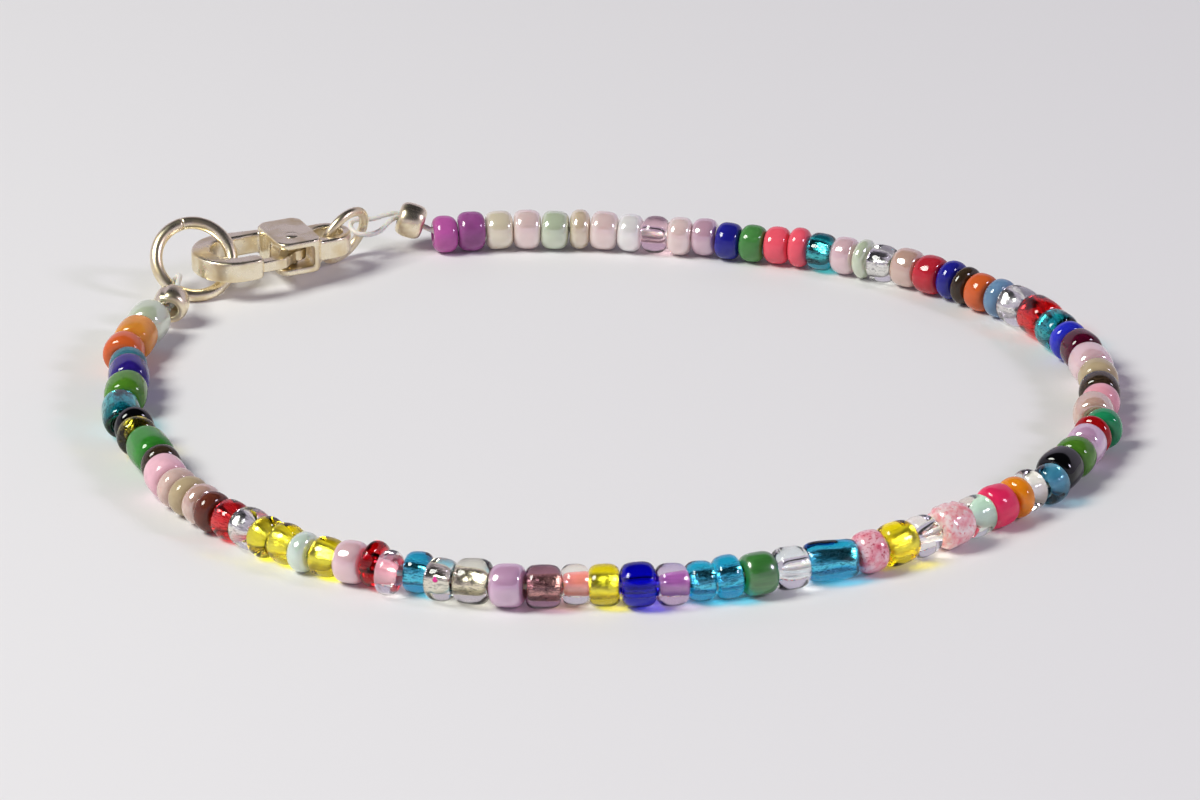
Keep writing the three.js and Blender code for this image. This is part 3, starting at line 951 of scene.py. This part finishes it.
def waxedNylon(tree):
    # twisted nylon thread drawn through wax: white plies with a low, greasy sheen
    place = addNode(tree, "TexCoord")
    fibre = addNode(tree, "TexNoise", {
        "Vector": place.outputs["Object"], "Scale": 1 / (beadThread["fibre"] * mm), "Detail": 3,
    })
    darker, lighter = [shade(beadThread["colour"], factor) for factor in (0.8, 1.08)]
    wax = addNode(tree, "Mix", {0: fibre, 6: darker, 7: lighter}, data_type="RGBA")
    bump = addNode(tree, "Bump", {"Height": fibre, "Distance": beadThread["fibreDepth"] * mm})
    surface = addNode(tree, "BsdfPrincipled", {
        "Base Color": wax, "Roughness": 0.42, "IOR": 1.53,
        "Subsurface Weight": 0.3, "Subsurface Scale": 0.2 * mm, "Normal": bump,
    })
    return {"Surface": surface}


def plyTwist(travelled, angle):
    turned = angle - 2 * math.pi * travelled / beadThread["twist"]
    depth = beadThread["plyDepth"]
    return 1 - depth + 2 * depth * abs(math.cos(turned * beadThread["plies"] / 2))


def strandThread():
    start, end = boxMiddle("crimp_catch_side"), boxMiddle("crimp_clasp_side")
    lines = [[start] + beadCentres + [end], endLoop("crimp_catch_side"), endLoop("crimp_clasp_side")]
    vertices, faces = [], []
    for line in lines:
        route = smoothLine(line, beadThread["step"])
        rod, rodFaces = sweepRod(route, beadThread["radius"], beadThread["sides"], section=plyTwist)
        first = len(vertices)
        vertices += rod
        faces += [tuple(first + corner for corner in face) for face in rodFaces]
    piece = buildPiece("bead_thread", vertices, faces, [makeMaterial("waxedNylon", waxedNylon)])
    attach(piece, "bracelet")
    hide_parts("thread")


strandThread()
print("thread")

clasp = {  # x runs from the hook to the eye, and y across to the back rail
    "thickness": 1.36, "voxel": 0.055, "smoothing": 50,
    "hook": {"centre": 2, "outer": 2.6, "innerAlong": 1.4, "innerAcross": 1.5, "end": 2.7},
    "boss": {"from": 4.5, "to": 7.4, "down": -2, "up": 2.25, "corner": 0.7, "thickness": 2.2},
    "eye": {"centre": 8.5, "outer": 1.5, "holeAlong": 0.98, "holeAcross": 0.9, "sides": 40},
    "joinDepth": 0.3, "pinBore": 0.34, "pinBoreSides": 24,
}


def arc(centre, radius, fromDeg, toDeg, steps=20, across=None):
    # round, or oval where its other radius is given
    points = []
    for i in range(steps + 1):
        angle = math.radians(fromDeg + (toDeg - fromDeg) * i / steps)
        x, y = radius * math.cos(angle), (across or radius) * math.sin(angle)
        points.append((centre[0] + x, centre[1] + y))
    return points


def holeOutline(centre, radius, sides, across=None):
    return arc(centre, radius, 0, 360 - 360 / sides, sides - 1, across)


def clawOutline():
    # hook, back rail and eye; the gap towards -y is the gate that the lever closes
    hook, boss, eye = clasp["hook"], clasp["boss"], clasp["eye"]
    tip = (hook["outer"] - hook["innerAcross"]) / 2
    points = arc((hook["end"], -hook["outer"] + tip), tip, 90, -90, 10)
    points += arc((hook["centre"], 0), hook["outer"], 270, 90, 40)
    points += [(boss["from"], boss["up"]), (boss["to"] - clasp["joinDepth"], eye["outer"])]
    points += arc((eye["centre"], 0), eye["outer"], 90, -90)
    points += [(boss["to"] - clasp["joinDepth"], -eye["outer"])]
    points += [(boss["from"] + clasp["joinDepth"], y) for y in (-eye["outer"], hook["innerAcross"])]
    points += arc((hook["centre"], 0), hook["innerAlong"], 90, 270, 30, hook["innerAcross"])
    return points


def bossOutline():
    boss = clasp["boss"]
    corner = boss["corner"]
    left, right = boss["from"] + corner, boss["to"] - corner
    bottom, top = boss["down"] + corner, boss["up"] - corner
    points = []
    for i, centre in enumerate(((right, top), (left, top), (left, bottom), (right, bottom))):
        points += arc(centre, corner, 90 * i, 90 * i + 90, 6)
    return points


lever = {"hub": 0.9, "room": 0.3, "thickness": 0.7, "slot": 1.3, "tab": 0.6, "tip": 0.3, "smoothing": 8}


def slotOutline():
    # the room in the boss that lets the lever's hub, arm and thumb tab turn
    along, across = claspDrawing["pin"]
    space = lever["hub"] + lever["room"]
    return [
        (along - 2, -3), (along + 0.8, -3), (along + space, across - 0.4), (along + space, across + 1),
        (along + 2.6, 3.4), (along - 1, 3.4), (along - 1, across + 1), (along - space, across + 0.6),
        (along - 2, across + 0.6),
    ]


def leverOutline():
    # gate arm on one side of the pin and thumb tab on the other, measured from it
    x, y = claspDrawing["pin"]
    points = [(x - 0.1, y - 0.88), (x - 1.1, y - 1.7), (x - 2.55, y - 1.75)]
    points += arc((x - 2.5, y - 1.4), lever["tip"], 252, 108, 8)
    points += [(x - 1.35, y - 0.95), (x - 0.88, y - 0.2), (x - 0.55, y + 0.75), (x - 0.6, y + 3.3)]
    points += arc((x - 0.2, y + 3.6), lever["tab"], 216, -36, 16)
    points += [(x + 0.28, y + 0.8)]
    points += arc((x, y), lever["hub"], 63, -90, 16)
    return points


def slab(outline, thickness):
    # one millimetre is one unit here, because a voxel has a least size
    shape = bmesh.new()
    face = shape.faces.new([shape.verts.new((x, y, -thickness / 2)) for x, y in outline])
    made = bmesh.ops.extrude_face_region(shape, geom=[face])
    for corner in made["geom"]:
        if isinstance(corner, bmesh.types.BMVert):
            corner.co.z = thickness / 2
    bmesh.ops.recalc_face_normals(shape, faces=shape.faces)
    mesh = bpy.data.meshes.new("slab")
    shape.to_mesh(mesh)
    shape.free()
    return addObject("slab", mesh)


def applyModifiers(piece):
    bpy.context.view_layer.update()
    depsgraph = bpy.context.evaluated_depsgraph_get()
    mesh = bpy.data.meshes.new_from_object(piece.evaluated_get(depsgraph))
    piece.modifiers.clear()
    piece.data = mesh


def cutFrom(piece, *cutters):
    for cutter in cutters:
        cut = piece.modifiers.new("cut", "BOOLEAN")
        cut.operation = "DIFFERENCE"
        cut.object = cutter
    applyModifiers(piece)


def castMetal(name, slabs, smoothing):
    # the slabs run together as one casting whose edges the polishing drum has rounded
    whole = bmesh.new()
    for part in slabs:
        whole.from_mesh(part.data)
    mesh = bpy.data.meshes.new(name)
    whole.to_mesh(mesh)
    whole.free()
    piece = addObject(name, mesh)
    remesh = piece.modifiers.new("run together", "REMESH")
    remesh.mode = "VOXEL"
    remesh.voxel_size = clasp["voxel"]
    polish = piece.modifiers.new("polish", "SMOOTH")
    polish.iterations = smoothing
    applyModifiers(piece)
    piece.data.transform(claspPlace)
    piece.data.transform(Matrix.Scale(mm, 4))
    piece.data.materials.clear()
    piece.data.materials.append(silver)
    piece.data.polygons.foreach_set("use_smooth", [True] * len(piece.data.polygons))
    return piece


def castClasp():
    boss, eye = clasp["boss"], clasp["eye"]
    tall = 2 * boss["thickness"]
    hole = slab(holeOutline(claspDrawing["pin"], clasp["pinBore"], clasp["pinBoreSides"]), tall)
    oval = holeOutline((eye["centre"], 0), eye["holeAlong"], eye["sides"], eye["holeAcross"])
    eyeHole = slab(oval, tall)
    slot = slab(slotOutline(), lever["slot"])
    claw = slab(clawOutline(), clasp["thickness"])
    block = slab(bossOutline(), boss["thickness"])
    gate = slab(leverOutline(), lever["thickness"])
    cutFrom(claw, eyeHole, slot, hole)
    cutFrom(block, eyeHole, slot, hole)
    cutFrom(gate, hole)
    body = castMetal("cast_clasp_body", [claw, block], clasp["smoothing"])
    arm = castMetal("cast_clasp_lever", [gate], lever["smoothing"])
    for scrap in (hole, eyeHole, slot, claw, block, gate):
        bpy.data.objects.remove(scrap)
    finishMetal(body, "clasp_body")
    finishMetal(arm, "clasp_lever", "lever")


pin = {
    "radius": 0.3, "head": 0.46, "length": 2.34, "around": 32,
    "dome": 0.1, "domeAngles": (0.3, 0.6, 0.9, 1.2, 1.5), "rim": 0.05, "under": 0.02,
}


def rivetPin():
    # a soft pin whose two ends are spread into low domes
    half, radius, head, dome = pin["length"] / 2, pin["radius"], pin["head"], pin["dome"]
    rows = [(head * math.sin(a), half - dome * (1 - math.cos(a))) for a in pin["domeAngles"]]
    edge = half - dome - pin["rim"]
    rows += [(head, edge), (radius, edge - pin["under"])]
    rows += [(out, -up) for out, up in rows[::-1]]
    around = pin["around"]
    x, y = claspDrawing["pin"]
    vertices = [claspPlace @ Vector((x, y, half)), claspPlace @ Vector((x, y, -half))]
    faces = []
    for i in range(around):
        angle = 2 * math.pi * i / around
        for out, up in rows:
            place = Vector((x + out * math.cos(angle), y + out * math.sin(angle), up))
            vertices.append(claspPlace @ place)
        here, beside = 2 + i * len(rows), 2 + (i + 1) % around * len(rows)
        faces.append((0, here, beside))
        faces.append((1, beside + len(rows) - 1, here + len(rows) - 1))
        for k in range(len(rows) - 1):
            faces.append((here + k, here + k + 1, beside + k + 1, beside + k))
    finishMetal(buildPiece("rivet_pin", vertices, faces, [silver]), "lever_pin")


castClasp()
rivetPin()
print("clasp")
